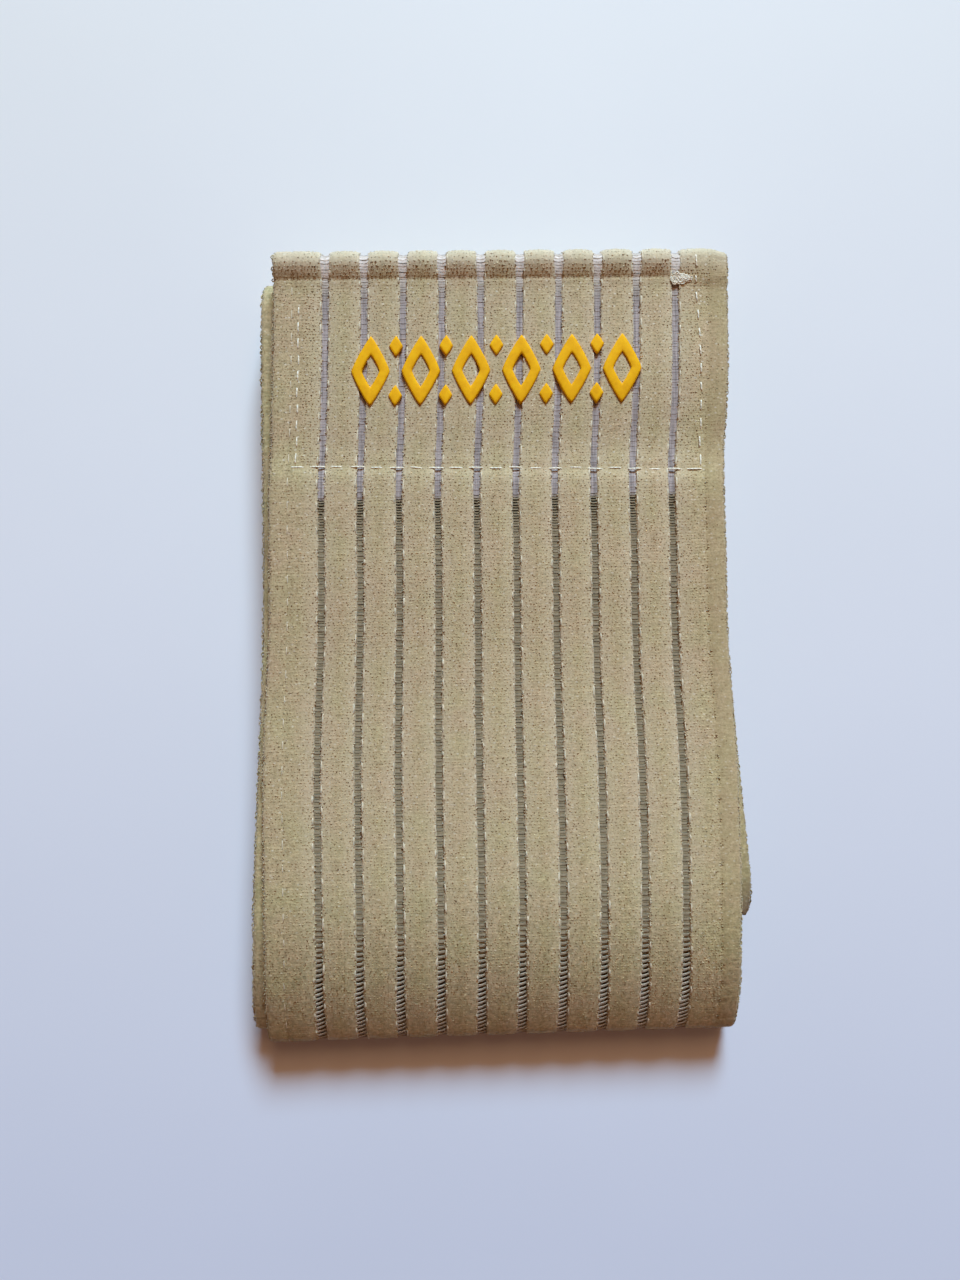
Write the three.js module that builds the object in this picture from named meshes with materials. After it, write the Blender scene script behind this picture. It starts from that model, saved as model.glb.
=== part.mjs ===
import * as THREE from 'three';
import { mergeVertices } from 'three/addons/utils/BufferGeometryUtils.js';

// An elastic ankle wrap, rolled flat and laid on a table with its hemmed outer end on top.
// Millimetres: X runs across the strap, Y along the packet to the hem, Z up from the table.

// Driving sizes of the ribbed elastic web
const strapWidth = 75;
const ribThickness = 1.7;
const grooveCount = 10;
const groovePitch = 6.45;
const grooveWeb = 0.5;
const grooveFloorWidth = 1.1;
const grooveMouthWidth = 1.9;
const edgeRounding = 0.5;

// Driving sizes of the rolled packet
const packetLength = 128;
const layerGap = 0.35;
const northRecess = 2.7;
const innerRecess = 1.3;
const droopAngle = THREE.MathUtils.degToRad(30);
const innerFoldY = -49;
const tailEndY = -43.2;

// The hem roll at the outer end, and the crease that its top seam makes
const hemRadius = 1.45;
const hemDrop = 0.8;
const tabLength = 2.5;
const creaseY = 59.7;
const creaseDip = 0.25;
const seamReach = 2.2;

// The tape of fastener hooks under the outer end
const patchWidth = 67;
const patchTopY = 58.6;
const patchLength = 33.4;
const patchThickness = 1.1;
const patchCorner = 2;
const patchRamp = 24;
const cornerSegments = 4;

// Small irregularities of a hand-rolled packet
const shiftReach = 50;
const leanMiddle = 0.02;
const leanGrowth = 0.000156;
const sewnSpread = 0.965;
const spreadFrom = 14;
const spreadTo = -14;

// Sideways shift of each layer at its hem end and at its nose end, from the outside of the roll inward,
// and the place along the packet where an upper layer starts to sag
const layers = [
  { name: 'outer', level: 6, north: 0, south: 0, sagFrom: -37 },
  { name: 'floor', level: 0, north: -0.9, south: 0 },
  { name: 'second', level: 5, north: -0.9, south: -2.6, sagFrom: -39 },
  { name: 'fourth', level: 1, north: -0.6, south: -2.6 },
  { name: 'third', level: 4, north: -0.6, south: 0, sagFrom: -40.5 },
  { name: 'sixth', level: 2, north: -0.3, south: 0 },
  { name: 'tail', level: 3, north: -0.3, south: 3.5 },
];

// Fineness of the facets, and the distance at which two corners are one
const facetTurn = THREE.MathUtils.degToRad(31);
const easeSteps = 2;
const droopSteps = 4;
const weldTolerance = 1e-4;

const layerPitch = ribThickness + layerGap;
const halfRib = ribThickness / 2;
const halfTurn = Math.PI / 2;

// A fold that wraps some layers turns round them at this radius
const foldRadius = (wrapped) => ((wrapped + 1) / 2) * layerPitch;
const levelHeight = (level) => halfRib + level * layerPitch;
const layerAt = Object.fromEntries(layers.map((layer) => [layer.name, layer]));
const heightOf = (name) => levelHeight(layerAt[name].level);
const sagFrom = (name) => layerAt[name].sagFrom;

// The ribbed cross-section: X across the strap, Y through its thickness
function ribbedProfile() {
  const half = strapWidth / 2;
  const face = [[-half, halfRib - edgeRounding], [-half + edgeRounding, halfRib]];
  for (let groove = 0; groove < grooveCount; groove += 1) {
    const middle = (groove - (grooveCount - 1) / 2) * groovePitch;
    face.push([middle - grooveMouthWidth / 2, halfRib]);
    face.push([middle - grooveFloorWidth / 2, grooveWeb / 2]);
    face.push([middle + grooveFloorWidth / 2, grooveWeb / 2]);
    face.push([middle + grooveMouthWidth / 2, halfRib]);
  }
  face.push([half - edgeRounding, halfRib], [half, halfRib - edgeRounding]);
  const inner = face.map(([across, depth]) => new THREE.Vector2(across, -depth));
  const outer = face.map(([across, depth]) => new THREE.Vector2(across, depth)).reverse();
  return new THREE.Shape([...inner, ...outer]);
}

// A piece of the centreline in the side view, where a curve's x is the packet's Y and its y is Z
function straight(layer, from, to) {
  return { layer, steps: 1, curve: new THREE.LineCurve(from, to) };
}

function fold(layer, centreY, centreZ, radius, startAngle, endAngle) {
  const steps = Math.ceil((endAngle - startAngle) / facetTurn);
  const curve = new THREE.EllipseCurve(centreY, centreZ, radius, radius, startAngle, endAngle);
  return { layer, steps, curve };
}

function ease(layer, from, to) {
  const middle = (from.x + to.x) / 2;
  const leave = new THREE.Vector2(middle, from.y);
  const arrive = new THREE.Vector2(middle, to.y);
  return { layer, steps: easeSteps, curve: new THREE.CubicBezierCurve(from, leave, arrive, to) };
}

// An upper layer that sags from its level into a fold nearer the table
function droop(layer, centreY, centreZ, radius) {
  const height = heightOf(layer);
  const endY = centreY - radius * Math.sin(droopAngle);
  const endZ = centreZ + radius * Math.cos(droopAngle);
  const bendY = endY + (height - endZ) / Math.tan(droopAngle);
  const start = new THREE.Vector2(sagFrom(layer), height);
  const bend = new THREE.Vector2(bendY, height);
  const end = new THREE.Vector2(endY, endZ);
  return { layer, steps: droopSteps, curve: new THREE.QuadraticBezierCurve(start, bend, end) };
}

// The whole centreline, from the raw edge inside the hem to the tail in the middle of the roll
function rolledCentreline() {
  const point = (y, z) => new THREE.Vector2(y, z);
  const hemY = packetLength / 2 - hemRadius - halfRib;
  const sewnLift = patchThickness + layerGap;
  const sewnHeight = heightOf('outer') + sewnLift;
  const hemZ = sewnHeight - hemDrop;
  const tabZ = hemZ - hemRadius;
  const crease = point(creaseY, sewnHeight - creaseDip);
  const patchStart = point(creaseY - seamReach, sewnHeight);
  const patchEnd = point(patchTopY - patchLength, sewnHeight);
  const patchClear = point(patchEnd.x - patchRamp, heightOf('outer'));
  const droopFrom = point(sagFrom('outer'), heightOf('outer'));

  const noseRadius = foldRadius(2);
  const innerRadius = foldRadius(0);
  const noseY = -packetLength / 2 + noseRadius + halfRib;
  const noseZ = heightOf('floor') + noseRadius;
  const backRadius = foldRadius(4);
  const backY = packetLength / 2 - northRecess - backRadius - halfRib;
  const backZ = heightOf('floor') + backRadius;
  const tailFoldY = backY - innerRecess;
  const noseAngle = halfTurn + droopAngle;
  const underAngle = 3 * halfTurn;

  return [
    straight('outer', point(hemY - tabLength, tabZ), point(hemY, tabZ)),
    fold('outer', hemY, hemZ, hemRadius, -halfTurn, halfTurn),
    ease('outer', point(hemY, hemZ + hemRadius), crease),
    ease('outer', crease, patchStart),
    straight('outer', patchStart, patchEnd),
    ease('outer', patchEnd, patchClear),
    straight('outer', patchClear, droopFrom),
    droop('outer', noseY, noseZ, noseRadius),
    fold('outer', noseY, noseZ, noseRadius, noseAngle, underAngle),
    straight('floor', point(noseY, heightOf('floor')), point(backY, heightOf('floor'))),
    fold('floor', backY, backZ, backRadius, -halfTurn, halfTurn),
    straight('second', point(backY, heightOf('second')), point(sagFrom('second'), heightOf('second'))),
    droop('second', noseY, noseZ, innerRadius),
    fold('second', noseY, noseZ, innerRadius, noseAngle, underAngle),
    straight('fourth', point(noseY, heightOf('fourth')), point(backY, heightOf('fourth'))),
    fold('fourth', backY, backZ, foldRadius(2), -halfTurn, halfTurn),
    straight('third', point(backY, heightOf('third')), point(sagFrom('third'), heightOf('third'))),
    droop('third', innerFoldY, backZ, innerRadius),
    fold('third', innerFoldY, backZ, innerRadius, noseAngle, underAngle),
    straight('sixth', point(innerFoldY, heightOf('sixth')), point(tailFoldY, heightOf('sixth'))),
    fold('sixth', tailFoldY, backZ, innerRadius, -halfTurn, halfTurn),
    straight('tail', point(tailFoldY, heightOf('tail')), point(tailEndY, heightOf('tail'))),
  ];
}

// Sections of the strap: the centreline point, the outward normal, the sideways shift and the spread
function sectionsAlong(pieces) {
  const sections = [];
  const place = (piece, t) => {
    const middle = piece.curve.getPoint(t);
    const tangent = piece.curve.getTangent(t);
    const { north, south } = layerAt[piece.layer];
    const along = THREE.MathUtils.clamp((middle.x + shiftReach) / (2 * shiftReach), 0, 1);
    const sewn = THREE.MathUtils.smoothstep(middle.x, spreadTo, spreadFrom);
    sections.push({
      middle,
      normal: new THREE.Vector2(tangent.y, -tangent.x),
      shift: THREE.MathUtils.lerp(south, north, along),
      spread: piece.layer === 'outer' ? THREE.MathUtils.lerp(1, sewnSpread, sewn) : 1,
    });
  };
  place(pieces[0], 0);
  for (const piece of pieces) {
    for (let step = 1; step <= piece.steps; step += 1) {
      place(piece, step / piece.steps);
    }
  }
  return sections;
}

// The packet leans a little: its folds run slightly uphill from left to right
function lean(across, along) {
  return along + across * (leanMiddle - leanGrowth * along);
}

// The strap: the ribbed profile extruded straight, then bent round the roll section by section
function rolledStrap() {
  const sections = sectionsAlong(rolledCentreline());
  const lengths = sections.length - 1;
  const geometry = new THREE.ExtrudeGeometry(ribbedProfile(), {
    depth: lengths,
    steps: lengths,
    bevelEnabled: false,
  });
  const position = geometry.attributes.position;
  for (let corner = 0; corner < position.count; corner += 1) {
    const { middle, normal, shift, spread } = sections[Math.round(position.getZ(corner))];
    const depth = position.getY(corner);
    const across = position.getX(corner) * spread + shift;
    const along = middle.x + normal.x * depth;
    position.setXYZ(corner, across, lean(across, along), middle.y + normal.y * depth);
  }
  return closedSurface(geometry);
}

// The hook tape: a thin plate with rounded corners, flat between the outer layer and the next
function hookTape() {
  const left = -patchWidth / 2;
  const right = patchWidth / 2;
  const top = patchTopY;
  const bottom = patchTopY - patchLength;
  const outline = new THREE.Shape();
  outline.absarc(right - patchCorner, top - patchCorner, patchCorner, 0, halfTurn);
  outline.absarc(left + patchCorner, top - patchCorner, patchCorner, halfTurn, 2 * halfTurn);
  outline.absarc(left + patchCorner, bottom + patchCorner, patchCorner, 2 * halfTurn, 3 * halfTurn);
  outline.absarc(right - patchCorner, bottom + patchCorner, patchCorner, 3 * halfTurn, 4 * halfTurn);
  const geometry = new THREE.ExtrudeGeometry(outline, {
    depth: patchThickness,
    curveSegments: cornerSegments,
    bevelEnabled: false,
  });
  const position = geometry.attributes.position;
  for (let corner = 0; corner < position.count; corner += 1) {
    const across = position.getX(corner);
    position.setY(corner, lean(across, position.getY(corner)));
  }
  return closedSurface(geometry);
}

// Only positions are kept, so that the walls and the ends share their corners
function closedSurface(geometry) {
  geometry.deleteAttribute('normal');
  geometry.deleteAttribute('uv');
  geometry.clearGroups();
  const closed = mergeVertices(geometry, weldTolerance);
  closed.computeVertexNormals();
  return closed;
}

function named(name, geometry, material) {
  const mesh = new THREE.Mesh(geometry, material);
  mesh.name = name;
  return mesh;
}

const plush = new THREE.MeshStandardMaterial({ color: 0xae9f80, roughness: 0.95, metalness: 0 });
const hookNylon = new THREE.MeshStandardMaterial({ color: 0xd9d4dc, roughness: 0.6, metalness: 0 });

const strap = named('strap', rolledStrap(), plush);
const hookPatch = named('hook_patch', hookTape(), hookNylon);
hookPatch.position.z = heightOf('second') + halfRib + layerGap;

const ankleWrap = new THREE.Group();
ankleWrap.name = 'ankle_wrap';
ankleWrap.add(strap, hookPatch);

// The origin is the middle of the packet's footprint on the table
const footprint = new THREE.Box3().setFromObject(ankleWrap);
const footprintMiddle = footprint.getCenter(new THREE.Vector3());
ankleWrap.position.set(-footprintMiddle.x, -footprintMiddle.y, -footprint.min.z);

export default ankleWrap;
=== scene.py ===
# %% [markdown]
# # An elastic ankle wrap, rolled flat
# The real wrap is one long strap of ribbed elastic. It is rolled flat into a packet of seven layers, with
# its hemmed end on top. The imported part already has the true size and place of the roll. This lesson gives
# it the surface that a hand would find: plush ribs, see-through grooves, stitches, hooks and a raised print.
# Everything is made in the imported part's own frame, so nothing has to be fitted afterwards.

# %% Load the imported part
import math

import bpy
import numpy as np
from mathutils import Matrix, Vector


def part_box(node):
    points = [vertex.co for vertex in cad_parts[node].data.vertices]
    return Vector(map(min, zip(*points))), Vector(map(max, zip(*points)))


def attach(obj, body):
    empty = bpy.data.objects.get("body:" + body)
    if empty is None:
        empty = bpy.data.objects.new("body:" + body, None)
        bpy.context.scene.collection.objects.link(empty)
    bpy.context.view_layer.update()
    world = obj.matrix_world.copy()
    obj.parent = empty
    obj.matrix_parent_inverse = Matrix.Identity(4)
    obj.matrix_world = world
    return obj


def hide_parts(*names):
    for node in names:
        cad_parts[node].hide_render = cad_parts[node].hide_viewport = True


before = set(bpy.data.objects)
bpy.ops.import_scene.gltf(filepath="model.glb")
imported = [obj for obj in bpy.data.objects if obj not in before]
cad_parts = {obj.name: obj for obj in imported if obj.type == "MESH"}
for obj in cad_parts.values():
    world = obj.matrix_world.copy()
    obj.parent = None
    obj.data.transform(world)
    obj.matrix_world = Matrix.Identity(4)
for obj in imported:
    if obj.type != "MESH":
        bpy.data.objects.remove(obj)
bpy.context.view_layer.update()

MM = 0.001

# %% [markdown]
# ## The camera
# The packet lies on a table and is seen almost from straight above, from so close that the hem looks
# smaller than the fold. A telephoto lens far away would give the same outline but lose that perspective,
# so the camera stands a hand's breadth above the table with a wide lens, tipped slightly to the hem.

# %% Place the camera above the packet
photo_long_side = 1280
focal_length_in_pixels = 963
sensor_long_side = 36.0
camera_place = (-3.12 * MM, -4.1 * MM, 166.9 * MM)
camera_turn = (math.radians(2.23), math.radians(0.2), math.radians(-0.2))

camera_data = bpy.data.cameras.new("camera")
camera_data.sensor_width = sensor_long_side
camera_data.lens = sensor_long_side * focal_length_in_pixels / photo_long_side
camera_data.clip_start = 0.01
camera = bpy.data.objects.new("camera", camera_data)
camera.location = camera_place
camera.rotation_euler = camera_turn
bpy.context.scene.collection.objects.link(camera)
bpy.context.scene.camera = camera
print("lens in mm:", round(camera_data.lens, 2))

# %% [markdown]
# ## The way the strap is rolled
# Seen from the side, the strap is one long line: it starts inside the hem, runs over the hook tape to the
# nose fold, comes back along the table, and goes on round and round until its tail ends in the middle.
# A cloth simulation could roll a strap, but it would not give the same roll each time. Here the line is laid
# from straight runs, round folds and soft droops, which keeps it where the imported strap is.

# %% Sizes of the strap and the packet, in millimetres
strap_width = 75.0
rib_thickness = 1.7
half_rib = rib_thickness / 2
crown = 0.07
groove_count = 10
groove_pitch = 6.45
groove_gap = 0.95
packet_length = 128.0
layer_gap = 0.35
layer_pitch = rib_thickness + layer_gap
north_recess = 2.7
inner_recess = 1.3
droop_angle = math.radians(33.3)
inner_fold_y = -49.0
tail_end_y = -44.1

hem_radius = 1.45
hem_drop = 0.4
hem_recess = 0.3
tab_length = 2.5
crease_y = 59.1
crease_dip = -0.12
tape_top_y = 58.6
tape_length = 33.4
tape_thickness = 1.1
tape_ramp = 38.0

# Each layer of the roll: its level above the table, and its sideways shift at the hem end and nose end
layer_shifts = {
    "outer": (6, 0.0, 0.0),
    "floor": (0, -1.3, 0.0),
    "second": (5, -1.3, -2.2),
    "fourth": (1, -0.6, -2.2),
    "third": (4, -0.6, 0.0),
    "sixth": (2, -0.3, 0.0),
    "tail": (3, -0.3, 4.3),
}
# Where each upper layer starts to sag towards its fold at the nose
sag_start = {"outer": -36.5, "second": -37.8, "third": -41.3}


def height_of(layer):
    return half_rib + layer_shifts[layer][0] * layer_pitch


def fold_radius(layers_wrapped):
    return (layers_wrapped + 1) / 2 * layer_pitch


print("layers:", len(layer_shifts), " top layer at", round(height_of("outer"), 2), "mm")


# %% Straight runs, droops and folds of the strap's line
def lay_curve(corners, step):
    """Points along a Bezier curve through its control corners, without the first point."""
    corners = np.array(corners, float)
    degree = len(corners) - 1
    reach = np.linalg.norm(np.diff(corners, axis=0), axis=1).sum()
    share = np.linspace(0, 1, math.ceil(reach / step) + 1)[1:]
    weights = [math.comb(degree, k) * share**k * (1 - share) ** (degree - k) for k in range(degree + 1)]
    return np.column_stack(weights) @ corners


def lay_ease(start, end, step):
    middle = (start[0] + end[0]) / 2
    return lay_curve([start, (middle, start[1]), (middle, end[1]), end], step)


def lay_fold(centre_y, centre_z, radius, start_angle, end_angle, step):
    count = max(6, math.ceil(radius * (end_angle - start_angle) / step))
    angle = np.linspace(start_angle, end_angle, count + 1)[1:]
    return np.column_stack([centre_y + radius * np.cos(angle), centre_z + radius * np.sin(angle)])


def lay_droop(layer, centre_y, centre_z, radius, step):
    """The stretch of an upper layer that sags from its level into a fold nearer the table."""
    top = height_of(layer)
    end_y = centre_y - radius * math.sin(droop_angle)
    end_z = centre_z + radius * math.cos(droop_angle)
    bend_y = end_y + (top - end_z) / math.tan(droop_angle)
    return lay_curve([(sag_start[layer], top), (bend_y, top), (end_y, end_z)], step)


# %% The whole line, from the raw edge inside the hem to the tail
fine_step = 0.55
fold_step = 0.4
plain_step = 4.0
quarter = math.pi / 2
nose_angle = quarter + droop_angle

hem_y = packet_length / 2 - hem_recess - hem_radius - half_rib
sewn_z = height_of("outer") + tape_thickness + layer_gap
hem_z = sewn_z - hem_drop
tab_z = hem_z - hem_radius
hem_crest = (hem_y, hem_z + hem_radius)
crest_round = 0.55
crease = (crease_y, sewn_z - crease_dip)
tape_start = (crease_y - 2.2, sewn_z)
tape_end = (tape_top_y - tape_length, sewn_z)
tape_clear = (tape_end[0] - tape_ramp, height_of("outer"))

nose_radius = fold_radius(2)
inner_radius = fold_radius(0)
nose_y = -packet_length / 2 + nose_radius + half_rib
nose_z = height_of("floor") + nose_radius
back_radius = fold_radius(4)
back_y = packet_length / 2 - north_recess - back_radius - half_rib
back_z = height_of("floor") + back_radius
tail_fold_y = back_y - inner_recess
tail_curl_length = 6.0
tail_z = height_of("tail")


def level_run(layer, start_y, end_y):
    return lay_curve([(start_y, height_of(layer)), (end_y, height_of(layer))], plain_step)


line_start = (hem_y - tab_length, tab_z)
line_pieces = [
    ("outer", lay_curve([line_start, (hem_y, tab_z)], fine_step)),
    ("outer", lay_fold(hem_y, hem_z, hem_radius, -quarter, quarter, fold_step * 0.75)),
    ("outer", lay_curve([hem_crest, (hem_y - crest_round, hem_crest[1]), crease], fold_step * 0.75)),
    ("outer", lay_ease(crease, tape_start, fold_step)),
    ("outer", lay_curve([tape_start, tape_end], fine_step)),
    ("outer", lay_ease(tape_end, tape_clear, fine_step)),
    ("outer", lay_curve([tape_clear, (sag_start["outer"], height_of("outer"))], fine_step)),
    ("outer", lay_droop("outer", nose_y, nose_z, nose_radius, fine_step)),
    ("outer", lay_fold(nose_y, nose_z, nose_radius, nose_angle, 3 * quarter, fold_step)),
    ("floor", level_run("floor", nose_y, back_y)),
    ("floor", lay_fold(back_y, back_z, back_radius, -quarter, quarter, 2 * fold_step)),
    ("second", level_run("second", back_y, sag_start["second"])),
    ("second", lay_droop("second", nose_y, nose_z, inner_radius, 2 * fold_step)),
    ("second", lay_fold(nose_y, nose_z, inner_radius, nose_angle, 3 * quarter, fold_step)),
    ("fourth", level_run("fourth", nose_y, back_y)),
    ("fourth", lay_fold(back_y, back_z, fold_radius(2), -quarter, quarter, 2 * fold_step)),
    ("third", level_run("third", back_y, sag_start["third"])),
    ("third", lay_droop("third", inner_fold_y, back_z, inner_radius, 2 * fold_step)),
    ("third", lay_fold(inner_fold_y, back_z, inner_radius, nose_angle, 3 * quarter, fold_step)),
    ("sixth", level_run("sixth", inner_fold_y, tail_fold_y)),
    ("sixth", lay_fold(tail_fold_y, back_z, inner_radius, -quarter, quarter, fold_step)),
    ("tail", level_run("tail", tail_fold_y, tail_end_y + tail_curl_length)),
    ("tail", lay_curve([(tail_end_y + tail_curl_length, tail_z), (tail_end_y, tail_z)], fold_step)),
]
line = np.vstack([[line_start]] + [points for _, points in line_pieces])
line_layer = ["outer"] + [layer for layer, points in line_pieces for _ in points]
line_run = np.concatenate([[0], np.cumsum(np.linalg.norm(np.diff(line, axis=0), axis=1))])
strap_length = line_run[-1]
outer_run = line_run[line_layer.index("floor") - 1]
print("strap length in mm:", round(strap_length, 1), " sections:", len(line))

# %% [markdown]
# ## From the flat strap to the roll
# Every rib, thread and stitch is easiest to describe on the flat strap: so far across, so far along, so
# far above the middle of its thickness. One function then carries such a place to the roll. It also adds
# what makes the packet look hand-rolled: layers that slip sideways, folds that lean, a sewn end that is
# drawn in by its seams, small valleys where the stitches pull the plush down, and a low ridge where the
# stiff lower edge of the tape lifts the strap.

# %% Sideways slips and widths of the layers
slip_reach = 50.0
lift_height = 5.0
sewn_spread = 0.963
sewn_span = (-24, 10)
sewn_shift = 0.15
sway = 0.3
sway_middle = 5.0
sway_half_wave = 55.0
inner_waist = 0.03
waist_middle, waist_reach = 5.0, 32.0
seam_draw = 0.35
seam_gather = 0.006
draw_middle, draw_reach = 26.0, 10.0
nose_spread = 0.013
nose_spread_span = (45, 58)
inner_nose_spread = 0.018
inner_spread_span = (46, 58)
tail_rounding = 0.012
tail_round_length = 2.0
tail_swing = 1.8


def ease_between(value, low, high):
    """Rises softly from 0 at low to 1 at high."""
    share = np.clip((value - low) / (high - low), 0, 1)
    return share * share * (3 - 2 * share)


def hump(value, middle, reach):
    """A soft hump of height 1."""
    return np.exp(-(((value - middle) / reach) ** 2))


tangent = np.gradient(line, line_run, axis=0)
tangent /= np.linalg.norm(tangent, axis=1)[:, None]
line_normal = np.column_stack([tangent[:, 1], -tangent[:, 0]])

is_outer = np.array([layer == "outer" for layer in line_layer])
is_tail = np.array([layer == "tail" for layer in line_layer])
towards_hem = np.clip((line[:, 0] + slip_reach) / (2 * slip_reach), 0, 1)
north_shift = np.array([layer_shifts[layer][1] for layer in line_layer])
south_shift = np.array([layer_shifts[layer][2] for layer in line_layer])
lifted = np.clip((line[:, 1] - half_rib) / lift_height, 0, 1)
sway_wave = -sway * np.cos(math.pi * (line[:, 0] - sway_middle) / sway_half_wave) * lifted
drawn_in = hump(line[:, 0], draw_middle, draw_reach)
outer_shift = sway_wave - seam_draw * drawn_in - sewn_shift * lifted
from_hem = (1 - towards_hem) ** np.where(is_tail, tail_swing, 1.0)
line_shift = north_shift + (south_shift - north_shift) * from_hem + np.where(is_outer, outer_shift, 0)
sewn_in = (1 - sewn_spread) * ease_between(line[:, 0], *sewn_span) + seam_gather * drawn_in
outer_spread = 1 - sewn_in + nose_spread * ease_between(-line[:, 0], *nose_spread_span)
inner_spread = 1 - inner_waist * hump(line[:, 0], waist_middle, waist_reach)
inner_spread = inner_spread + inner_nose_spread * ease_between(-line[:, 0], *inner_spread_span)
to_tail = np.clip(1 - (strap_length - line_run) / tail_round_length, 0, 1)
line_spread = np.where(is_outer, outer_spread, inner_spread) - tail_rounding * to_tail**2
print("widest layer in mm:", round(strap_width * line_spread.max(), 2))

# %% Find places on the top layer
seam_y = 28.35
nose_start_y = -44
top_of_hem = np.argmax(line[:, 1])


def run_at(y):
    """The place along the strap where its top layer passes a given place along the packet."""
    top = slice(top_of_hem, line_layer.index("floor"))
    return np.interp(-np.asarray(y, float), -line[top, 0], line_run[top])


seam_run = float(run_at(seam_y))
nose_run = float(run_at(nose_start_y))
crease_run = float(run_at(crease_y))
crest_run = float(run_at(hem_y))
flat_run = float(run_at(tape_start[0]))
print("seam lies", round(seam_run, 1), "mm from the raw edge")

# %% Let the stitches and the tape move the strap through its thickness
seam_slant = 0.022
seam_left = -33.4
seam_right = 33.75
seam_dip = 0.2
seam_reach = 0.75
seam_fade = 1
side_dip_share = 0.7
pressed_span = (27, 33)
pressed_runs = [0, crest_run - 2, crest_run, crease_run, flat_run]
pressed_levels = [0, 0, -0.45, 0.3, 0]
swell_span = (-15, 32)
hollow_run = float(run_at(31.8))
hollow_dip = (0.18, 0.47)
hollow_reach = 4.5
dome_run = float(run_at(44.0))
dome_rise = 0.35
dome_reach = 6.5
ridge_rise = 0.35
ridge_span = (-2.6, 2.4, 13.0)


def past_seam(across, run):
    return run - seam_run - seam_slant * across


def sewn_down(across, run):
    """How far the stitches and the flattened right end of the hem move the strap through its thickness."""
    from_seam = past_seam(across, run)
    inside = ease_between(across, seam_left - seam_fade, seam_left)
    inside = inside * ease_between(-across, -seam_right - seam_fade, -seam_right)
    beside = ease_between(run, crease_run, flat_run) * ease_between(-from_seam, -seam_fade, 0)
    sides = beside * (hump(across, seam_left, seam_reach) + hump(across, seam_right, seam_reach))
    stitched = seam_dip * np.maximum(inside * hump(from_seam, 0, seam_reach), side_dip_share * sides)
    flattened = np.interp(run, pressed_runs, pressed_levels)
    return ease_between(across, *pressed_span) * flattened - stitched


def swollen(across, run):
    """How far the tape's stiff lower edge lifts the strap, and how it swells and sinks above the seam."""
    from_seam = past_seam(across, run)
    start, top, end = ridge_span
    ridge = ease_between(from_seam, start, top) - ease_between(from_seam, top, end)
    to_right = ease_between(across, *swell_span)
    hollow = hollow_dip[0] + (hollow_dip[1] - hollow_dip[0]) * to_right
    hollow = hollow * hump(run, hollow_run, hollow_reach)
    return ridge_rise * ridge + dome_rise * to_right * hump(run, dome_run, dome_reach) - hollow


print("hollow lies", round(seam_run - hollow_run, 1), "mm above the seam")

# %% Carry a place on the flat strap to the roll
lean_middle = 0.02
lean_growth = 0.000156
hem_square = 0.007
square_span = (10, 62)
nose_opening = 0.28
hem_opening = 0.2
hem_pillow = 0.3
nose_pillow = 0.45
front_span = (outer_run - 6.3, outer_run - 4.6)
front_end = outer_run + 8
hem_corner = 0.55
hem_corner_width = 2.8
tail_curl = 3.2
tail_curl_width = 3.4
tail_pull = 0.5
strap_half = strap_width / 2
packet_origin = np.zeros(3)


def near_groove(across):
    """Signed distance from the nearest groove, and 1 on the groove falling to 0 in the middle of a rib."""
    last = groove_count - 1
    number = np.clip(np.round(across / groove_pitch + last / 2), 0, last)
    away = across - (number - last / 2) * groove_pitch
    return away, np.clip(1 - np.abs(away) / (groove_pitch / 2), 0, 1)


def leaning(along):
    """How much a line across the packet climbs to the right."""
    return lean_middle - lean_growth * along - hem_square * ease_between(along, *square_span)


def place_on_roll(across, run, depth):
    """Carries a place on the flat strap, in millimetres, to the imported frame, in metres."""
    across, run, depth = np.broadcast_arrays(across, run, depth)
    on_hem = ease_between(-run, -crease_run, -crest_run)
    round_nose = ease_between(run, nose_run, outer_run) * (run < front_end)
    on_front = ease_between(run, *front_span) * (run < front_end)
    away, nearness = near_groove(across)
    opening = hem_opening * on_hem + nose_opening * round_nose
    across = across + opening * nearness * np.clip(away / (groove_gap / 2), -1, 1)
    pillow = (hem_pillow * on_hem + nose_pillow * on_front) * nearness**3
    corner = hem_corner * on_hem * ease_between(across, strap_half - hem_corner_width, strap_half)
    near_end = np.clip((run - strap_length) / tail_curl_length + 1, 0, 1) ** 2
    curl = tail_curl * near_end * ease_between(across, strap_half - tail_curl_width, strap_half)
    depth = depth + sewn_down(across, run) + swollen(across, run) - pillow - corner - curl
    y, z, normal_y, normal_z, spread, shift = (
        np.interp(run, line_run, column)
        for column in (*line.T, *line_normal.T, line_spread, line_shift)
    )
    sideways = across * spread + shift
    along = y + normal_y * depth - tail_pull * curl
    along = along + sideways * leaning(along)
    return (np.stack([sideways, along, z + normal_z * depth], axis=-1) + packet_origin) * MM


edge_places = place_on_roll(
    np.array([-strap_half, strap_half])[:, None, None],
    line_run[None, :, None],
    np.array([-half_rib - crown, half_rib + crown]),
).reshape(-1, 3)
strap_low, strap_high = (np.array(corner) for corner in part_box("strap"))
packet_origin = ((strap_low + strap_high) - (edge_places.min(axis=0) + edge_places.max(axis=0))) / 2 / MM
packet_origin[2] = (strap_low[2] - edge_places[:, 2].min()) / MM
print("moved to the packed strap by, mm:", packet_origin.round(2))

# %% [markdown]
# ## Meshes from rings
# Ribs, threads, stitches and hooks are all long shapes with a small cross-section. Blender's curves with a
# bevel could make each one, but thousands of curve objects are slow. A few lines of array code skin rings of
# points into closed meshes, which is quick and gives the same result on every run. A strip whose rings turn
# backwards is wound the other way, so that every face points out.


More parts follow.
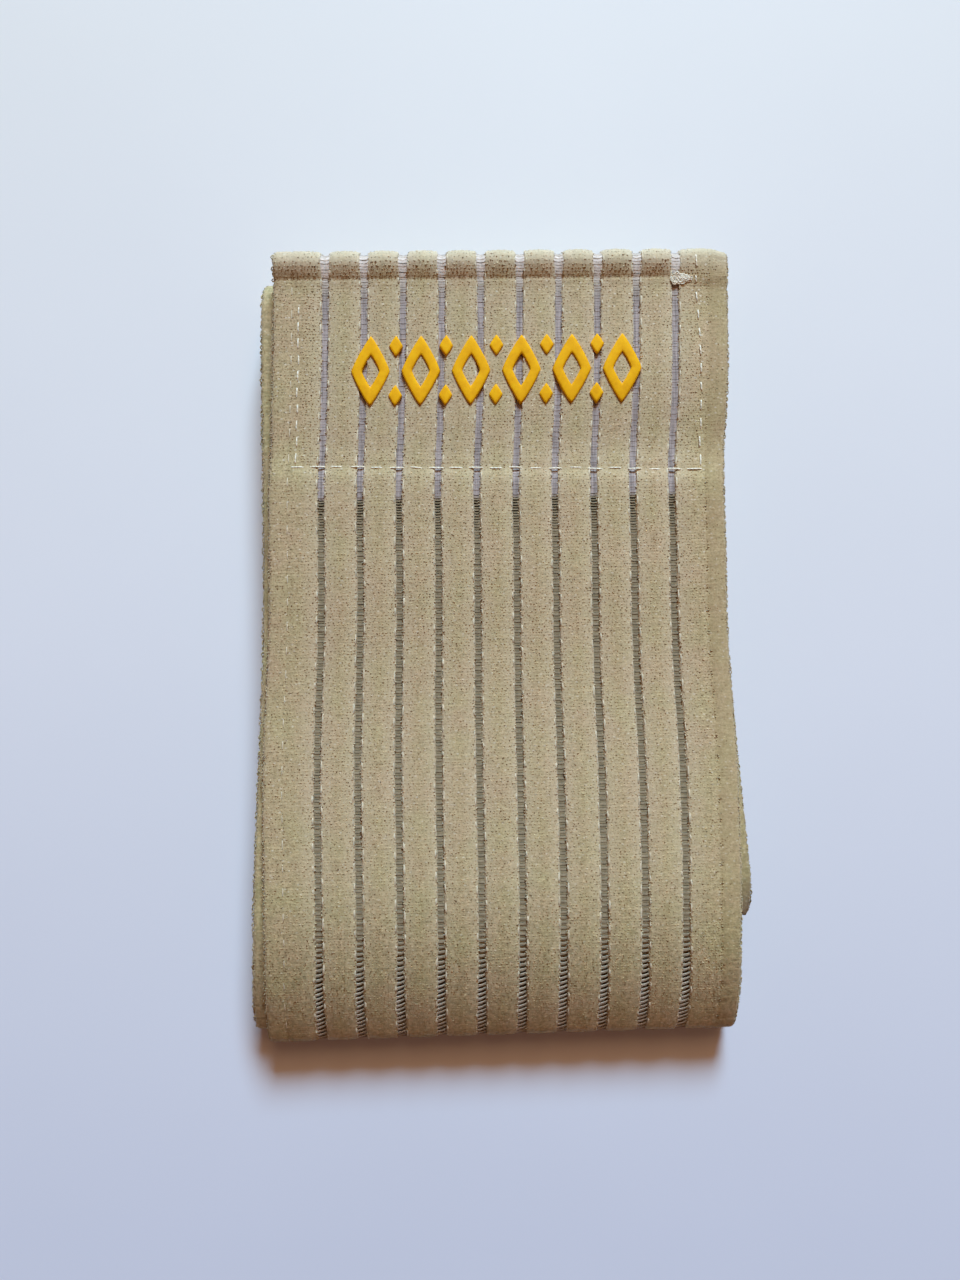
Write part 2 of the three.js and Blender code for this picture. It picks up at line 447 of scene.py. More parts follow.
# %% Skin rings of points into closed strips
def wound_backwards(rings):
    """True for each strip whose rings turn the wrong way for its faces to point out."""
    middles = rings.mean(axis=2)
    spokes = rings - middles[:, :, None]
    ring_normals = np.cross(spokes, np.roll(spokes, -1, axis=2)).sum(axis=2)
    return (ring_normals * np.gradient(middles, axis=1)).sum(axis=(1, 2)) < 0


def skin_rings(rings):
    """Closed strips: rings has the shape strips, rings in a strip, corners in a ring, 3."""
    strips, count, corners = rings.shape[:3]
    index = np.arange(strips * count * corners).reshape(strips, count, corners)
    backwards = wound_backwards(rings)
    index[backwards] = index[backwards][:, :, ::-1]
    here, ahead = index[:, :-1], index[:, 1:]
    sides = np.stack([here, np.roll(here, -1, 2), np.roll(ahead, -1, 2), ahead], axis=-1)
    faces = sides.reshape(-1, 4).tolist()
    faces += index[:, 0, ::-1].tolist()
    faces += index[:, -1].tolist()
    return rings.reshape(-1, 3), faces


def join_strips(strips):
    """Joins pairs of points and faces into one pair."""
    points, faces = [], []
    start = 0
    for strip_points, strip_faces in strips:
        points.append(strip_points)
        faces += [[corner + start for corner in face] for face in strip_faces]
        start += len(strip_points)
    return np.vstack(points), faces


# %% Hang a piece on its body
def make_object(name, points, faces, material):
    mesh = bpy.data.meshes.new(name)
    mesh.from_pydata(points.tolist(), [], faces)
    mesh.materials.append(material)
    thing = bpy.data.objects.new(name, mesh)
    bpy.context.scene.collection.objects.link(thing)
    return thing


def make_piece(name, points, faces, material):
    piece = make_object(name, points, faces, material)
    piece.data.shade_smooth()
    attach(piece, "root")
    triangles = sum(len(face) - 2 for face in faces)
    low, high = points.min(axis=0) / MM, points.max(axis=0) / MM
    print(f"{name}: {triangles} triangles, from {low.round(1)} to {high.round(1)} mm")
    return piece


def note_on_points(piece, name, values):
    """Keeps a number or a vector at each point, for the materials to read."""
    kind, field = ("FLOAT", "value") if values.ndim == 1 else ("FLOAT_VECTOR", "vector")
    layer = piece.data.attributes.new(name, kind, "POINT")
    layer.data.foreach_set(field, values.astype(np.float32).ravel())


# %% [markdown]
# ## Building materials from nodes
# A finish here is a small tree of nodes: coordinates, a few noises, and colour ramps that turn them into
# the dark pits and pale loops of the cloth. Wiring nodes by hand in the editor works too, but a helper that
# takes values and sockets alike keeps each material to a few readable lines.


# %% Helpers that add nodes
def new_finish(name):
    material = bpy.data.materials.new(name)
    material.use_nodes = True
    return material, material.node_tree, material.node_tree.nodes["Principled BSDF"]


def add_node(tree, kind, inputs, **settings):
    """A node whose inputs are given by name or number, as a value or as another node's socket."""
    node = tree.nodes.new("ShaderNode" + kind)
    for key, value in settings.items():
        setattr(node, key, value)
    for key, value in inputs.items():
        if isinstance(value, bpy.types.NodeSocket):
            tree.links.new(value, node.inputs[key])
        else:
            node.inputs[key].default_value = value
    return node


def add_ramp(tree, share, stops):
    """A colour ramp from pairs of position and colour."""
    node = add_node(tree, "ValToRGB", {"Fac": share})
    ramp = node.color_ramp
    while len(ramp.elements) < len(stops):
        ramp.elements.new(0.5)
    for element, (position, colour) in zip(ramp.elements, stops):
        element.position = position
        element.color = (*colour, 1.0)
    return node.outputs["Color"]


def ramp_value(tree, value, low, high, to_low=0.0, to_high=1.0):
    node = add_node(tree, "MapRange", {0: value, 1: low, 2: high, 3: to_low, 4: to_high})
    return node.outputs[0]


def combine(tree, operation, first, second):
    return add_node(tree, "Math", {0: first, 1: second}, operation=operation).outputs[0]


def mix_colours(tree, share, first, second, blend="MIX"):
    node = add_node(tree, "Mix", {0: share, 6: first, 7: second}, data_type="RGBA", blend_type=blend)
    return node.outputs[2]


def shaded(tree, colour, shade):
    return mix_colours(tree, 1.0, colour, shade, "MULTIPLY")


# %% Helpers for places, noises and the surface
def packed_place(tree):
    return add_node(tree, "TexCoord", {}).outputs["Object"]


def noted(tree, name, output="Fac"):
    """What was kept at the points under a name."""
    return add_node(tree, "Attribute", {}, attribute_name=name).outputs[output]


def stretched(tree, place, scales):
    """Coordinates stretched by a factor each way, so that a noise can run along or across the strap."""
    return add_node(tree, "VectorMath", {0: place, 1: scales}, operation="MULTIPLY").outputs[0]


def noise(tree, place, scale, detail=2.0, roughness=0.5):
    inputs = {"Vector": place, "Scale": scale, "Detail": detail, "Roughness": roughness}
    return add_node(tree, "TexNoise", inputs).outputs["Fac"]


def dots(tree, place, scale, randomness):
    """Distance from the nearest of many scattered dots."""
    inputs = {"Vector": place, "Scale": scale, "Randomness": randomness}
    return add_node(tree, "TexVoronoi", inputs).outputs["Distance"]


def dress_surface(tree, surface, colour, height, strength, bump_depth, sockets):
    """Wires the colour and the grain, which is bump_depth millimetres deep, and sets the other sockets."""
    inputs = {"Strength": strength, "Distance": bump_depth * MM, "Height": height}
    tree.links.new(add_node(tree, "Bump", inputs).outputs["Normal"], surface.inputs["Normal"])
    tree.links.new(colour, surface.inputs["Base Color"])
    for socket, value in sockets.items():
        surface.inputs[socket].default_value = value
    print("finish with", len(tree.nodes), "nodes, roughness", sockets["Roughness"])


# %% [markdown]
# ## The plush of the ribs
# The ribs are covered with a short brushed loop that the hooks can grip. Up close it is a tan felt with
# faint rows across the rib, small dark pits where the ground shows, and a few pale loops standing out. Near
# each groove the loops thin out and a paler, greyer ground shows. The finish only gives the colours and the
# finest grain; the loops that can be seen one by one follow later as a mesh. It reads the place on the flat
# strap from the points, so the rows run across the ribs wherever the strap turns.

# %% The ground of the plush: grain, rows and pits
plush, tree, surface = new_finish("plush")
place = noted(tree, "strap_place", "Vector")
flat_place = add_node(tree, "SeparateXYZ", {0: place})
across_strap, along_strap = flat_place.outputs["X"], flat_place.outputs["Y"]

speckle = noise(tree, place, 2.8, 3.0, 0.7)
pile = add_ramp(
    tree, speckle, [(0.3, (0.45, 0.34, 0.175)), (0.5, (0.56, 0.435, 0.243)), (0.72, (0.675, 0.545, 0.325))]
)
rows = noise(tree, stretched(tree, place, (0.6, 2.6, 1.0)), 1.0)
pile = shaded(tree, pile, ramp_value(tree, rows, 0.3, 0.7, 0.88, 1.1))
cloud = noise(tree, place, 0.16)
pile = shaded(tree, pile, add_ramp(tree, cloud, [(0.35, (1.01, 0.96, 0.96)), (0.65, (0.97, 0.995, 0.915))]))
pits = dots(tree, place, 0.62, 1.0)
pit_share = ramp_value(tree, pits, 0.08, 0.2, 0.36, 0.0)
pile = mix_colours(tree, pit_share, pile, (0.23, 0.175, 0.08, 1.0))
print("ground of the plush:", len(tree.nodes), "nodes")

# %% The knit, the pale loops and the thin pile beside the grooves
knit_end = 60.0
knit_levels = [(0.13, 0.2), (0.2, 0.66), (0.6, 0.66), (0.9, 0.4)]
sewn_end_runs = (36.0, 50.0)
knit_greys = [(position, (level, level, level)) for position, level in knit_levels]
knit_strength = add_ramp(tree, ramp_value(tree, along_strap, 0.0, knit_end), knit_greys)
knit = dots(tree, stretched(tree, place, (1.15, 1.6, 0.3)), 1.0, 0.45)
knit_share = combine(tree, "MULTIPLY", ramp_value(tree, knit, 0.1, 0.3, 1.0, 0.0), knit_strength)
pile = mix_colours(tree, knit_share, pile, (0.33, 0.25, 0.12, 1.0))
flecks = dots(tree, stretched(tree, place, (0.8, 1.2, 0.3)), 1.0, 0.85)
fleck_strength = ramp_value(tree, along_strap, *sewn_end_runs, 0.8, 0.6)
fleck_share = combine(tree, "MULTIPLY", ramp_value(tree, flecks, 0.07, 0.22, 1.0, 0.0), fleck_strength)
pile = mix_colours(tree, fleck_share, pile, (0.80, 0.71, 0.52, 1.0))

thin_pile = noise(tree, stretched(tree, place, (3.0, 0.8, 1.0)), 1.0)
thin_share = ramp_value(tree, thin_pile, 0.25, 0.7, 0.3, 0.95)
edge_share = combine(tree, "MULTIPLY", noted(tree, "groove_side"), thin_share)
pile = mix_colours(tree, edge_share, pile, (0.66, 0.535, 0.34, 1.0))
# darker where the pile is worn, and on the selvedge line painted shade as well
pile = mix_colours(tree, noted(tree, "selvedge_wear_and_shade"), pile, (0.40, 0.285, 0.125, 1.0))
print("with knit and loops:", len(tree.nodes), "nodes")

# %% Along the strap: a darker sewn end, painted shade on the nose and the tail, a painted highlight on the hem crest and painted light to the right
painted_light_reach = 30.0
shaded_nose_runs = (float(run_at(-24)), float(run_at(-50)))
shaded_tail_runs = (strap_length - 2 * tail_curl_length, strap_length)
crest_highlight_runs = (5.0, 9.0)
# The plush is darker on the sewn end, up to a little past the seam
pile = shaded(tree, pile, ramp_value(tree, along_strap, *sewn_end_runs, 0.945, 1.0))
# painted light: the plush is brighter towards the right, where the lamps reach it more strongly
pile = shaded(tree, pile, ramp_value(tree, across_strap, -painted_light_reach, painted_light_reach, 0.985, 1.035))
# painted shade: towards the nose fold the plush is mottled and, on the whole, darker, for the shade of the
# fold
mottle = noise(tree, place, 1.5, 1.5)
nose_mottle_and_shade = add_ramp(tree, mottle, [(0.36, (0.78, 0.81, 0.73)), (0.64, (1.04, 1.06, 1.0))])
mottled_shaded_nose = shaded(tree, pile, nose_mottle_and_shade)
pile = mix_colours(tree, ramp_value(tree, along_strap, *shaded_nose_runs), pile, mottled_shaded_nose)
# painted shade: the tail's end, which curls away from the lamps, is darker
pile = shaded(tree, pile, ramp_value(tree, along_strap, *shaded_tail_runs, 1.0, 0.7))
# painted highlight: the front of the hem crest, which faces the lamps, is paler
crest_highlight = ramp_value(tree, along_strap, *crest_highlight_runs, 0.55, 0.0)
pile = mix_colours(tree, crest_highlight, pile, (0.74, 0.65, 0.46, 1.0))

height = combine(tree, "SUBTRACT", combine(tree, "ADD", speckle, rows), pit_share)
dress_surface(
    tree, surface, pile, height, 0.4, 0.1,
    {"Roughness": 0.95, "Sheen Weight": 0.22, "Sheen Roughness": 0.5, "Specular IOR Level": 0.1},
)

# %% [markdown]
# ## Eleven ribs
# The strap is knitted as eleven thick ribs held side by side by thin threads. One flat sheet with a bump map
# would hide that light falls through the grooves, so each rib is a closed strip of its own, with a soft
# crown, round shoulders and edges that wander a little as knitted edges do. The two outside ribs are wider
# and carry a shallow selvedge line, which has small pits on the right.

# %% The cross-section of a rib
shoulder = 0.5
selvedge_inset = 3.1
selvedge_dip = 0.13
rib_half_width = (groove_pitch - groove_gap) / 2
end_rib_inner = (groove_count / 2 - 0.5) * groove_pitch + groove_gap / 2
strap_edge = strap_half + 0.15
end_rib_middle = (strap_edge + end_rib_inner) / 2
end_rib_half_width = (strap_edge - end_rib_inner) / 2
middle_rib = groove_count // 2 - 1


def rib_face(half_width, marks):
    """The upper face of a rib: places across from its middle, and heights; marks are places and dips."""
    left = [
        (-half_width + shoulder * (1 - math.cos(angle)), half_rib - shoulder * (1 - math.sin(angle)))
        for angle in np.radians([0, 45, 90])
    ]
    right = [(-across, height) for across, height in reversed(left)]
    return left + [(across, half_rib + crown - dip) for across, dip in marks] + right


def rib_section(half_width, marks):
    face = rib_face(half_width, marks)
    return np.array(face + [(across, -height) for across, height in reversed(face)])


selvedge = end_rib_half_width - selvedge_inset
plain_marks = [(0.0, 0.0)]
end_marks = [
    (-0.9, 0.0), (-0.1, 0.0), (selvedge - 0.4, 0.0), (selvedge, selvedge_dip), (selvedge + 0.4, 0.02),
]
mirror_marks = [(-across, dip) for across, dip in reversed(end_marks)]
ribs = [(-end_rib_middle, end_rib_half_width, mirror_marks)]
ribs += [((rib - middle_rib) * groove_pitch, rib_half_width, plain_marks) for rib in range(groove_count - 1)]
ribs += [(end_rib_middle, end_rib_half_width, end_marks)]
rib_widths = [round(2 * half_width, 2) for _, half_width, _ in ribs]
print(len(ribs), "ribs with widths in mm:", rib_widths)

# %% How a knitted edge wanders, thins out and wears to the ground, with painted shade along the selvedge line
rng = np.random.default_rng(11)
wander = 0.05
wander_lengths = np.array([1.9, 3.6, 7.3, 17.0])
thin_margin = (0.8, 0.35)
strip_bareness = 0.28
strip_fade = (-0.1, 0.3)
# painted shade: the selvedge line is darkened for the shade in its shallow valley, on top of its worn pile
line_wear_and_shade = 0.38
line_reach = 0.24


def edge_wander(run):
    """A slow, uneven drift of a knitted edge, the same on every run of the script."""
    phases = rng.uniform(0, 2 * math.pi, len(wander_lengths))
    waves = np.sin(2 * math.pi * run[:, None] / wander_lengths + phases)
    return wander * waves.mean(axis=1) * 2


def groove_nearness(middle, half_width, across):
    """1 beside a groove, falling to 0 on the crown of the rib and along the strap's own edges."""
    near = ease_between(half_width - np.abs(across), *thin_margin)
    return np.where(np.abs(middle + across) > end_rib_middle, 0, near)


def pile_wear_and_shade(across):
    """How much the pile is worn and shaded: half worn away beyond the right selvedge line, and nearly worn
    away on the line itself, whose darker colour is also painted shade for its shallow valley.
    """
    beyond = across - end_rib_middle - selvedge
    return strip_bareness * ease_between(beyond, *strip_fade) + line_wear_and_shade * hump(beyond, 0, line_reach)


def note_plush(piece, places, sides, wear_and_shade):
    """Keeps what the plush finish reads: the place on the flat strap, the nearness of a groove, the wear and
    the painted shade.
    """
    note_on_points(piece, "strap_place", places.reshape(-1, 3))
    note_on_points(piece, "groove_side", sides)
    note_on_points(piece, "selvedge_wear_and_shade", wear_and_shade)


print("bareness on the right selvedge:", round(float(pile_wear_and_shade(end_rib_middle + selvedge)), 2))

# %% Knit the ribs along the roll
selvedge_pit = 0.2
selvedge_pit_pitch = 3.35
pit_fade = (seam_run - 2, seam_run + 8)
pit = np.maximum(0, np.cos(2 * math.pi * line_run / selvedge_pit_pitch)) ** 2
pit = pit * ease_between(line_run, *pit_fade)
strips, places, sides, edge_wear_and_shade = [], [], [], []
for number, (middle, half_width, marks) in enumerate(ribs):
    section = rib_section(half_width, marks)
    reach = section[:, 0] / half_width
    drift_left, drift_right = edge_wander(line_run), edge_wander(line_run)
    drift = np.where(reach < 0, drift_left[:, None], drift_right[:, None]) * np.abs(reach) ** 3
    across = middle + section[:, 0] + drift
    depth = np.repeat(section[None, :, 1], len(line_run), axis=0)
    if number == len(ribs) - 1:
        on_line = np.isclose(section[:, 0], selvedge)
        depth = depth - selvedge_pit * pit[:, None] * on_line * np.sign(section[:, 1])
    run = np.repeat(line_run[:, None], section.shape[0], axis=1)
    strips.append(skin_rings(place_on_roll(across, run, depth)[None]))
    places.append(np.stack([across, run, depth], axis=-1).reshape(-1, 3))
    sides.append(np.tile(groove_nearness(middle, half_width, section[:, 0]), len(line_run)))
    edge_wear_and_shade.append(np.tile(pile_wear_and_shade(middle + section[:, 0]), len(line_run)))

points, faces = join_strips(strips)
rolled_strap = make_piece("rolled_strap", points, faces, plush)
note_plush(rolled_strap, np.vstack(places), np.concatenate(sides), np.concatenate(edge_wear_and_shade))
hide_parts("strap")

# %% [markdown]
# ## The pile
# Short loops stand up all over the plush, and they make the outline of the hem and of the nose fold fuzzy.
# A hair system would grow them, but hair is not a mesh and would be lost when the part is exported. So each
# loop is a tiny closed tuft of four faces. The tufts stand in rows, as the needles set them, and lean out
# over the shoulders of the ribs. They are set only where they can be seen: on the top layer, on the back
# fold, and along the edges of the second layer and of the tail, which peep out beside the top layer.

# %% Set out the tufts where the strap can be seen
tuft_row_pitch = 0.46
tuft_pitch = 0.5
tuft_margin = 0.12
tuft_jitter = (0.22, 0.09)
top_rows = (2.0, outer_run - 1.5)
peeping_width = 4.0
peeping_edges = {0: ("second", -1), len(ribs) - 1: ("tail", 1)}
on_back_fold = np.array([layer == "floor" for layer in line_layer]) & (line[:, 0] > back_y)
back_fold = line_run[on_back_fold].min(), line_run[on_back_fold].max()
tuft_rows = np.concatenate([np.arange(*top_rows, tuft_row_pitch), np.arange(*back_fold, tuft_row_pitch)])


def rows_of(layer):
    """Rows of tufts along a lower layer, whose edge peeps out beside the top layer."""
    runs = line_run[[name == layer for name in line_layer]]
    return np.arange(runs.min(), runs.max(), tuft_row_pitch)


def set_out(rows, columns):
    return [grid.ravel() for grid in np.meshgrid(rows, columns, indexing="ij")]


spots = []
for number, (middle, half_width, marks) in enumerate(ribs):
    columns = np.arange(-half_width + tuft_margin, half_width, tuft_pitch)
    run, across = set_out(tuft_rows, columns)
    if number in peeping_edges:
        layer, edge_side = peeping_edges[number]
        peeping = set_out(rows_of(layer), columns[columns * edge_side > half_width - peeping_width])
        run, across = np.concatenate([run, peeping[0]]), np.concatenate([across, peeping[1]])
    across = np.clip(across + rng.uniform(-1, 1, across.shape) * tuft_jitter[0], -half_width, half_width)
    run = run + rng.uniform(-1, 1, run.shape) * tuft_jitter[1]
    ground = np.interp(across, *np.transpose(rib_face(half_width, marks)))
    lean_out = (across / half_width) ** 3
    side = groove_nearness(middle, half_width, across)
    spots.append(np.column_stack([middle + across, run, ground, lean_out, side]))
tuft_across, tuft_run, tuft_ground, tuft_lean, tuft_side = np.vstack(spots).T
print("tufts:", len(tuft_run))

# %% Raise the tufts
tuft_sizes = (0.75, 1.2)
tuft_reach = (0.31, 0.21)
tuft_rise = 0.11
tuft_root = 0.1
tuft_comb = 0.16
tip_jitter = 0.08
nose_flattening = 0.4
bare_flattening = 0.5
bare_from = end_rib_middle + selvedge + 0.1
count = len(tuft_run)
size = rng.uniform(*tuft_sizes, count)
turn = rng.uniform(0, 2 * math.pi, count)[:, None] + np.radians([0, 120, 240])
feet_across = tuft_across[:, None] + tuft_reach[0] * size[:, None] * np.cos(turn)
feet_run = tuft_run[:, None] + tuft_reach[1] * size[:, None] * np.sin(turn)
feet_depth = np.repeat((tuft_ground - tuft_root)[:, None], 3, axis=1)
tip_across = tuft_across + tuft_comb * tuft_lean + rng.normal(0, tip_jitter, count)
tip_run = tuft_run + rng.normal(0, tip_jitter, count)
flattened = 1 - nose_flattening * ease_between(tuft_run, nose_run, outer_run)
flattened = flattened * np.where(tuft_across > bare_from, bare_flattening, 1.0)
tip_depth = tuft_ground + tuft_rise * size * flattened
across = np.column_stack([feet_across, tip_across])
run = np.column_stack([feet_run, tip_run])
depth = np.column_stack([feet_depth, tip_depth])

tuft_faces = np.array([[0, 1, 2], [0, 3, 1], [1, 3, 2], [2, 3, 0]])
faces = (tuft_faces + 4 * np.arange(count)[:, None, None]).reshape(-1, 3).tolist()
plush_tufts = make_piece("plush_tufts", place_on_roll(across, run, depth).reshape(-1, 3), faces, plush)
places = np.stack([across, run, depth], axis=-1)
note_plush(plush_tufts, places, np.repeat(tuft_side, 4), np.repeat(pile_wear_and_shade(tuft_across), 4))

# %% [markdown]
# ## Loops along the edges
# Along both edges of the strap the cross thread turns back on itself and leaves rows of tiny loops, so the
# edge of every layer looks furry. They could be left to a displaced edge, but loops that overlap and differ
# in length catch the light as the real ones do. Each is a short tube, bent outwards from the edge.

# %% Turn the loops
loop_pitch = 0.8
loop_levels = (-0.35, 0.35)
loop_step = 0.33 * np.array([-1.0, -0.8, 0.0, 0.8, 1.0])
loop_bend = np.array([-0.6, 0.5, 1.0, 0.5, -0.6])
loop_reach = (0.0, 0.24)
loop_radius = 0.12
left_reach = 1.5
run_jitter, level_jitter = 0.3, 0.2
last_loop = strap_length - 0.4
loop_runs = np.arange(0.8, strap_length - 0.3, loop_pitch)
side, level, run = (grid.ravel() for grid in np.meshgrid([-1, 1], loop_levels, loop_runs, indexing="ij"))
run = np.minimum(run + rng.uniform(-run_jitter, run_jitter, run.shape), last_loop)
level = level + rng.uniform(-level_jitter, level_jitter, run.shape)
reach = rng.uniform(*loop_reach, run.shape) * np.where(side < 0, left_reach, 1.0)
across = side[:, None] * (strap_edge + reach[:, None] * loop_bend)
along = run[:, None] + loop_step
way = np.stack([np.gradient(across, axis=1), np.gradient(along, axis=1)])
way /= np.linalg.norm(way, axis=0)
turn = np.radians([90, 210, 330])
across = across[:, :, None] - loop_radius * way[1][:, :, None] * np.cos(turn)
along = along[:, :, None] + loop_radius * way[0][:, :, None] * np.cos(turn)
depth = np.broadcast_to(level[:, None, None] + loop_radius * np.sin(turn), across.shape)
points, faces = skin_rings(place_on_roll(across, along, depth))
edge_loops = make_piece("edge_loops", points, faces, plush)
places = np.stack([across, along, depth], axis=-1)
note_plush(edge_loops, places, np.zeros(len(points)), pile_wear_and_shade(across).ravel())

# %% [markdown]
# ## The threads across the grooves
# Between the ribs only fine threads hold the strap together, like the rungs of a ladder. Along the flat top
# they lie low and close, and the groove looks dark: their colour is their own brown-grey with painted shade
# for the depth of the groove. Over the tape they look lilac, streaked along the strap. Every other thread
# stands a little higher and has a faint painted highlight. Round the nose fold they slant, the raised ones
# stand higher still and are painted paler, and each has a painted highlight at one end. Over the hem they
# are stretched and pale. A transparent texture would be cheaper, but real threads throw real shadows and let
# the tape show through.

# %% The groove thread finish
groove_thread, tree, surface = new_finish("groove_thread")
place = packed_place(tree)
fibre = noise(tree, place, 1500.0, 3.0)
streak = noise(tree, stretched(tree, place, (4.0, 0.2, 1.0)), 900.0)
# painted shade: the dark flat-top colour holds the thread's own brown-grey and the shade of the groove's
# depth
dull_and_shaded = add_ramp(tree, fibre, [(0.3, (0.236, 0.186, 0.104)), (0.7, (0.352, 0.275, 0.154))])
lilac = add_ramp(tree, streak, [(0.35, (0.26, 0.215, 0.19)), (0.65, (0.47, 0.39, 0.345))])
pale = add_ramp(tree, fibre, [(0.3, (0.66, 0.57, 0.47)), (0.7, (0.90, 0.80, 0.68))])
backed = mix_colours(tree, noted(tree, "tape_backed"), dull_and_shaded, lilac)
# the pale colour is the stretched hem thread's own, and on raised threads a painted highlight
thread_colour = mix_colours(tree, noted(tree, "thread_paleness_and_highlight"), backed, pale)
dress_surface(tree, surface, thread_colour, fibre, 0.4, 0.04, {"Roughness": 0.8, "Specular IOR Level": 0.2})

# %% Set out the rungs, and find where they cross the hem, the tape and the nose
rung_pitch = 0.42
hidden_rung_pitch = 2.0
rung_jitter = 0.025
shown_run = outer_run + 3
fold_span = (float(run_at(-43)), float(run_at(-58)))
rung_spans = [
    (0.3, shown_run, rung_pitch),
    (shown_run, back_fold[0], hidden_rung_pitch),
    (*back_fold, rung_pitch),
    (back_fold[1], strap_length - 0.3, hidden_rung_pitch),
]
runs = np.concatenate([np.arange(*span) for span in rung_spans])
groove_middles = (np.arange(groove_count) - (groove_count - 1) / 2) * groove_pitch
middle, run = (grid.ravel() for grid in np.meshgrid(groove_middles, runs, indexing="ij"))
raised = np.tile(np.arange(len(runs)) % 2, groove_count)
run = run + rng.uniform(-rung_jitter, rung_jitter, run.shape)
folded = ease_between(run, *fold_span) * (run < shown_run)
hemmed = ease_between(run, crease_run + 5.0, crease_run - 2.0)
hemmed = hemmed * ease_between(run, crest_run - 1.6, crest_run - 0.5)
over_tape = ease_between(run, seam_run + 5.0, seam_run + 4.2) * (1 - hemmed)
beyond_tape = ease_between(run, seam_run + 4.2, seam_run + 5.2)
beyond_tape = beyond_tape * ease_between(run, seam_run + 12, seam_run + 5)
print("rungs:", len(run), " over the tape:", int((over_tape > 0.5).sum()))

# %% Lay the rungs
rung_half_width = 0.2
folded_half_width = 0.18
narrowed_beyond, widened_over = 0.42, 0.2
rung_top = 0.8
rung_half_height = 0.06
rung_bury = 0.2
rung_dip, folded_dip, dip_jitter = 0.05, 0.06, 0.03
folded_slant = 0.4
folded_taper = np.array([0.35, 0.0, -0.35])
rung_level, hem_lift, beyond_sink, level_jitter = 0.42, 0.15, 0.12, 0.02
flat_steps = (0.02, -0.04)
folded_steps = (0.18, -0.45)
tape_calm = 0.6
# painted highlight: how much paler the raised threads are painted, on the flat top and round the nose
flat_highlight, folded_stretch_and_highlight = 0.075, 0.3
# painted highlight at one end of each thread round the nose
folded_shine = np.array([0.5, -0.1, -0.7])

dip = rung_dip + folded_dip * folded + rng.uniform(-dip_jitter, dip_jitter, run.shape)
slant = folded_slant * folded
step = np.where(raised, *flat_steps) * (1 - hemmed) * (1 - tape_calm * over_tape)
level = rung_level + step + hem_lift * hemmed
level = level + folded * np.where(raised, *folded_steps) - beyond_sink * beyond_tape
level = level + rng.uniform(-level_jitter, level_jitter, run.shape)
half_width = rung_half_width + (folded_half_width - rung_half_width) * folded
half_width = half_width * (1 - narrowed_beyond * beyond_tape) * (1 + widened_over * over_tape)
reach = groove_gap / 2 + rung_bury

across = middle[:, None] + np.array([-reach, 0, reach])
along = run[:, None] + dip[:, None] * np.array([0, 1, 0]) + slant[:, None] * np.array([1, 0, -1])
taper = 1 + folded[:, None] * folded_taper
ring_along = (half_width[:, None] * taper)[:, :, None] * np.array([1, rung_top, -rung_top, -1])
ring_up = rung_half_height * np.array([-1, 1, 1, -1])
rings = place_on_roll(across[:, :, None], along[:, :, None] + ring_along, level[:, None, None] + ring_up)
points, faces = skin_rings(rings)
groove_rungs = make_piece("groove_rungs", points, faces, groove_thread)
groove_rungs.data.shade_flat()
# Pale share of each thread: painted highlight on the raised ones, and the pale stretch over the hem
stretch_and_highlight = np.maximum((flat_highlight + folded_stretch_and_highlight * folded) * raised, hemmed**1.5)
stretch_and_highlight = stretch_and_highlight[:, None] * (1 + folded[:, None] * folded_shine)
note_on_points(groove_rungs, "thread_paleness_and_highlight", np.repeat(stretch_and_highlight, rings.shape[2]))
note_on_points(groove_rungs, "tape_backed", np.repeat(over_tape, rings[0].size // 3))

# %% [markdown]
# ## Pale filaments along the ribs
# A shiny filament runs along each edge of a rib and is caught down every few millimetres, so it shows as a
# row of pale dashes. It could be painted on the rib, but then it would not stand up from the shoulder. It is
# a thin tube that rises and sinks in the shoulder of the rib, a little thicker where it stands free.

# %% The filament finish
filament, tree, surface = new_finish("filament")
fibre = noise(tree, packed_place(tree), 900.0, 3.0)
tint = add_ramp(tree, fibre, [(0.3, (0.56, 0.47, 0.31)), (0.7, (0.80, 0.69, 0.48))])
dress_surface(tree, surface, tint, fibre, 0.3, 0.03, {"Roughness": 0.75, "Specular IOR Level": 0.2})

# %% Run the filaments
filament_pitch = 3.55
filament_inset = 0.27
filament_level = 0.6
filament_rise = 0.18
filament_radius, free_radius = 0.08, 0.15
filament_wander = 0.6
spot_sizes = (0.45, 1.0)
filament_run = np.arange(1.0, outer_run, 0.4)
filament_middles = np.concatenate([
    groove_middles - groove_gap / 2 - filament_inset, groove_middles + groove_gap / 2 + filament_inset,
])
phase = rng.uniform(0, 1, groove_count)
phase = np.concatenate([phase, phase + 0.5])[:, None]
drift = np.stack([edge_wander(filament_run) for _ in filament_middles])
turns = filament_run / filament_pitch + phase + drift * 2
wave = np.cos(2 * math.pi * turns)
spot_size = rng.uniform(*spot_sizes, (len(filament_middles), round(turns.max()) + 1))
free = np.maximum(0, wave) * np.take_along_axis(spot_size, np.round(turns).astype(int), axis=1)
thickness = filament_radius + free_radius * free
turn = np.radians([0, 90, 180, 270])
rings = place_on_roll(
    (filament_middles[:, None] + drift * filament_wander)[:, :, None] + thickness[:, :, None] * np.cos(turn),
    filament_run[None, :, None],
    (filament_level + filament_rise * wave)[:, :, None] + thickness[:, :, None] * np.sin(turn),
)
points, faces = skin_rings(rings)
edge_filaments = make_piece("edge_filaments", points, faces, filament)

# %% [markdown]
# ## Lockstitches
# A sewing machine holds the hook tape with a rectangle of pale thread. What shows of a lockstitch is a short
# arch: the thread comes up through one hole, lies on the plush and goes down the next. Each arch is made on
# its own, with its own length and height, because a row of equal dashes would look printed.

